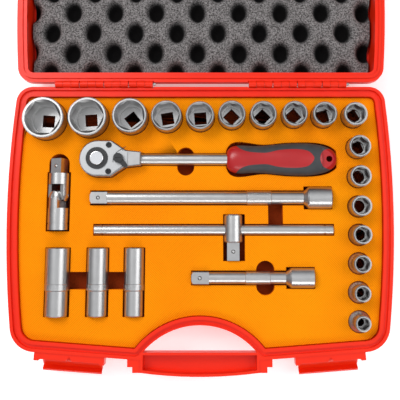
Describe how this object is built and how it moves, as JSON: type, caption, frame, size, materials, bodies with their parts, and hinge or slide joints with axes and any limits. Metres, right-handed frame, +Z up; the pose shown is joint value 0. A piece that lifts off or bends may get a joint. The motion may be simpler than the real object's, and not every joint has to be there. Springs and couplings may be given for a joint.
{
  "type": "socket wrench set in case",
  "caption": "Half-inch-drive socket wrench set in a hinged orange plastic case, open, with tools in cut foam.",
  "frame": {"origin": "centre of the tray's underside", "axes": "+Z up, +Y from the handle towards the hinge and the open lid, +X to the right when the handle faces the viewer"},
  "size_m": [0.401, 0.6012, 0.061],
  "materials": {
    "case_plastic": "satin",
    "orange_foam": "matte",
    "dark_orange_foam": "matte",
    "grey_foam": "matte",
    "red_plastic": "gloss",
    "grip_rubber": "matte",
    "black_plastic": "satin",
    "black_steel": "satin",
    "satin_steel": "satin",
    "satin_chrome": "satin",
    "polished_chrome": "polished"
  },
  "bodies": {
    "tray": {"tray_shell": "case_plastic", "foam_block": "dark_orange_foam", "foam_sheet": "orange_foam", "foam_skin": "orange_foam", "hinge_pins": "satin_steel", "latch_pins": "satin_steel"},
    "lid": {"lid_shell": "case_plastic", "lid_foam": "grey_foam"},
    "latch_left": {"latch_left": "case_plastic"},
    "latch_right": {"latch_right": "case_plastic"},
    "socket_32": {"socket_32": "satin_chrome"},
    "socket_30": {"socket_30": "satin_chrome"},
    "socket_27": {"socket_27": "satin_chrome"},
    "socket_24": {"socket_24": "satin_chrome"},
    "socket_22": {"socket_22": "satin_chrome"},
    "socket_21": {"socket_21": "satin_chrome"},
    "socket_20": {"socket_20": "satin_chrome"},
    "socket_19": {"socket_19": "satin_chrome"},
    "socket_18": {"socket_18": "satin_chrome"},
    "socket_17": {"socket_17": "satin_chrome"},
    "socket_16": {"socket_16": "satin_chrome"},
    "socket_15": {"socket_15": "satin_chrome"},
    "socket_14": {"socket_14": "satin_chrome"},
    "socket_13": {"socket_13": "satin_chrome"},
    "socket_12": {"socket_12": "satin_chrome"},
    "socket_11": {"socket_11": "satin_chrome"},
    "socket_10": {"socket_10": "satin_chrome"},
    "deep_socket_17": {"deep_socket_17": "satin_chrome"},
    "deep_socket_16": {"deep_socket_16": "satin_chrome"},
    "deep_socket_14": {"deep_socket_14": "satin_chrome"},
    "ratchet": {"ratchet_body": "satin_chrome", "cover_plate": "satin_steel", "cover_screws": "black_steel", "button_bezel": "black_plastic", "pawl_pin": "satin_steel", "grip_core": "red_plastic", "grip_overmould": "grip_rubber"},
    "ratchet_drive": {"ratchet_gear": "satin_steel", "button_spring": "satin_steel"},
    "ratchet_ball": {"ratchet_ball": "satin_chrome"},
    "release_button": {"release_button": "polished_chrome"},
    "reversing_lever": {"reversing_lever": "black_plastic"},
    "pawl": {"pawl": "satin_steel"},
    "extension_long": {"extension_long": "satin_chrome"},
    "extension_long_ball": {"extension_long_ball": "satin_chrome"},
    "extension_short": {"extension_short": "satin_chrome"},
    "extension_short_ball": {"extension_short_ball": "satin_chrome"},
    "t_bar": {"t_bar_rod": "satin_chrome"},
    "t_bar_slider": {"t_bar_slider": "satin_chrome", "slider_plug": "satin_chrome", "slider_detent_ball": "satin_chrome", "slider_detent_spring": "satin_steel"},
    "t_bar_ball": {"t_bar_ball": "satin_chrome"},
    "uj_socket_end": {"uj_socket_yoke": "satin_chrome"},
    "uj_cross": {"uj_cross": "satin_chrome", "uj_pins": "satin_chrome"},
    "uj_drive_end": {"uj_drive_yoke": "satin_chrome"},
    "uj_ball": {"uj_ball": "satin_chrome"}
  },
  "joints": [
    {"name": "lid_hinge", "type": "hinge", "parent": "tray", "child": "lid", "pos_m": [0, 0.1426, 0.04615], "axis": [-1, 0, 0], "range_deg": [-182.43, 0]},
    {"name": "latch_left_hinge", "type": "hinge", "parent": "tray", "child": "latch_left", "pos_m": [-0.13208, -0.14037, 0.034], "axis": [0.9972, -0.0753, 0], "range_deg": [-142, 0]},
    {"name": "latch_right_hinge", "type": "hinge", "parent": "tray", "child": "latch_right", "pos_m": [0.13208, -0.14037, 0.034], "axis": [0.9972, 0.0753, 0], "range_deg": [-142, 0]},
    {"name": "socket_32_lift", "type": "slide", "parent": "tray", "child": "socket_32", "axis": [0, 0, 1], "range_m": [0, 0.06]},
    {"name": "socket_30_lift", "type": "slide", "parent": "tray", "child": "socket_30", "axis": [0, 0, 1], "range_m": [0, 0.06]},
    {"name": "socket_27_lift", "type": "slide", "parent": "tray", "child": "socket_27", "axis": [0, 0, 1], "range_m": [0, 0.06]},
    {"name": "socket_24_lift", "type": "slide", "parent": "tray", "child": "socket_24", "axis": [0, 0, 1], "range_m": [0, 0.06]},
    {"name": "socket_22_lift", "type": "slide", "parent": "tray", "child": "socket_22", "axis": [0, 0, 1], "range_m": [0, 0.06]},
    {"name": "socket_21_lift", "type": "slide", "parent": "tray", "child": "socket_21", "axis": [0, 0, 1], "range_m": [0, 0.06]},
    {"name": "socket_20_lift", "type": "slide", "parent": "tray", "child": "socket_20", "axis": [0, 0, 1], "range_m": [0, 0.06]},
    {"name": "socket_19_lift", "type": "slide", "parent": "tray", "child": "socket_19", "axis": [0, 0, 1], "range_m": [0, 0.06]},
    {"name": "socket_18_lift", "type": "slide", "parent": "tray", "child": "socket_18", "axis": [0, 0, 1], "range_m": [0, 0.06]},
    {"name": "socket_17_lift", "type": "slide", "parent": "tray", "child": "socket_17", "axis": [0, 0, 1], "range_m": [0, 0.06]},
    {"name": "socket_16_lift", "type": "slide", "parent": "tray", "child": "socket_16", "axis": [0, 0, 1], "range_m": [0, 0.06]},
    {"name": "socket_15_lift", "type": "slide", "parent": "tray", "child": "socket_15", "axis": [0, 0, 1], "range_m": [0, 0.06]},
    {"name": "socket_14_lift", "type": "slide", "parent": "tray", "child": "socket_14", "axis": [0, 0, 1], "range_m": [0, 0.06]},
    {"name": "socket_13_lift", "type": "slide", "parent": "tray", "child": "socket_13", "axis": [0, 0, 1], "range_m": [0, 0.06]},
    {"name": "socket_12_lift", "type": "slide", "parent": "tray", "child": "socket_12", "axis": [0, 0, 1], "range_m": [0, 0.06]},
    {"name": "socket_11_lift", "type": "slide", "parent": "tray", "child": "socket_11", "axis": [0, 0, 1], "range_m": [0, 0.06]},
    {"name": "socket_10_lift", "type": "slide", "parent": "tray", "child": "socket_10", "axis": [0, 0, 1], "range_m": [0, 0.06]},
    {"name": "deep_socket_17_lift", "type": "slide", "parent": "tray", "child": "deep_socket_17", "axis": [0, 0, 1], "range_m": [0, 0.06]},
    {"name": "deep_socket_16_lift", "type": "slide", "parent": "tray", "child": "deep_socket_16", "axis": [0, 0, 1], "range_m": [0, 0.06]},
    {"name": "deep_socket_14_lift", "type": "slide", "parent": "tray", "child": "deep_socket_14", "axis": [0, 0, 1], "range_m": [0, 0.06]},
    {"name": "ratchet_lift", "type": "slide", "parent": "tray", "child": "ratchet", "axis": [0, 0, 1], "range_m": [0, 0.06]},
    {"name": "drive_spin", "type": "hinge", "parent": "ratchet", "child": "ratchet_drive", "pos_m": [-0.1072, 0.0628, 0.04], "axis": [0, 0, 1], "continuous": true},
    {"name": "ratchet_ball_press", "type": "slide", "parent": "ratchet_drive", "child": "ratchet_ball", "axis": [0, -1, 0], "range_m": [0, 0.001], "stiffness_N_per_m": 400},
    {"name": "release_press", "type": "slide", "parent": "ratchet_drive", "child": "release_button", "axis": [0, 0, -1], "range_m": [0, 0.002], "stiffness_N_per_m": 600, "deforming": ["button_spring"]},
    {"name": "reversing_lever_turn", "type": "hinge", "parent": "ratchet", "child": "reversing_lever", "pos_m": [-0.0848, 0.0628, 0.056], "axis": [0, 0, 1], "range_deg": [0, 94]},
    {"name": "pawl_tilt", "type": "hinge", "parent": "ratchet", "child": "pawl", "pos_m": [-0.09065, 0.0628, 0.04], "axis": [0, 0, 1], "range_deg": [0, 8]},
    {"name": "extension_long_lift", "type": "slide", "parent": "tray", "child": "extension_long", "axis": [0, 0, 1], "range_m": [0, 0.06]},
    {"name": "extension_long_ball_press", "type": "slide", "parent": "extension_long", "child": "extension_long_ball", "axis": [0, 0, -1], "range_m": [0, 0.001], "stiffness_N_per_m": 400},
    {"name": "extension_short_lift", "type": "slide", "parent": "tray", "child": "extension_short", "axis": [0, 0, 1], "range_m": [0, 0.06]},
    {"name": "extension_short_ball_press", "type": "slide", "parent": "extension_short", "child": "extension_short_ball", "axis": [0, 0, -1], "range_m": [0, 0.001], "stiffness_N_per_m": 400},
    {"name": "t_bar_lift", "type": "slide", "parent": "tray", "child": "t_bar", "axis": [0, 0, 1], "range_m": [0, 0.18]},
    {"name": "t_bar_slide", "type": "slide", "parent": "t_bar", "child": "t_bar_slider", "axis": [1, 0, 0], "range_m": [0, 0.0216]},
    {"name": "t_bar_ball_press", "type": "slide", "parent": "t_bar_slider", "child": "t_bar_ball", "axis": [0, 0, -1], "range_m": [0, 0.001], "stiffness_N_per_m": 400},
    {"name": "universal_joint_lift", "type": "slide", "parent": "tray", "child": "uj_socket_end", "axis": [0, 0, 1], "range_m": [0, 0.06]},
    {"name": "uj_side_swing", "type": "hinge", "parent": "uj_socket_end", "child": "uj_cross", "pos_m": [-0.1486, 0.0241, 0.0392], "axis": [-0.4226, 0, 0.9063], "range_deg": [-16.5, 0]},
    {"name": "uj_main_swing", "type": "hinge", "parent": "uj_cross", "child": "uj_drive_end", "pos_m": [-0.1486, 0.0241, 0.0392], "axis": [0.9063, 0, 0.4226], "range_deg": [0, 35]},
    {"name": "uj_ball_press", "type": "slide", "parent": "uj_drive_end", "child": "uj_ball", "axis": [0.4226, 0, -0.9063], "range_m": [0, 0.001], "stiffness_N_per_m": 400}
  ],
  "couplings": [
    {"joint": "uj_side_swing", "follows": "uj_main_swing", "ratio": -0.46631},
    {"joint": "t_bar_slide", "follows": "t_bar_lift", "ratio": 0.12},
    {"joint": "pawl_tilt", "follows": "reversing_lever_turn", "ratio": 0.085006}
  ]
}
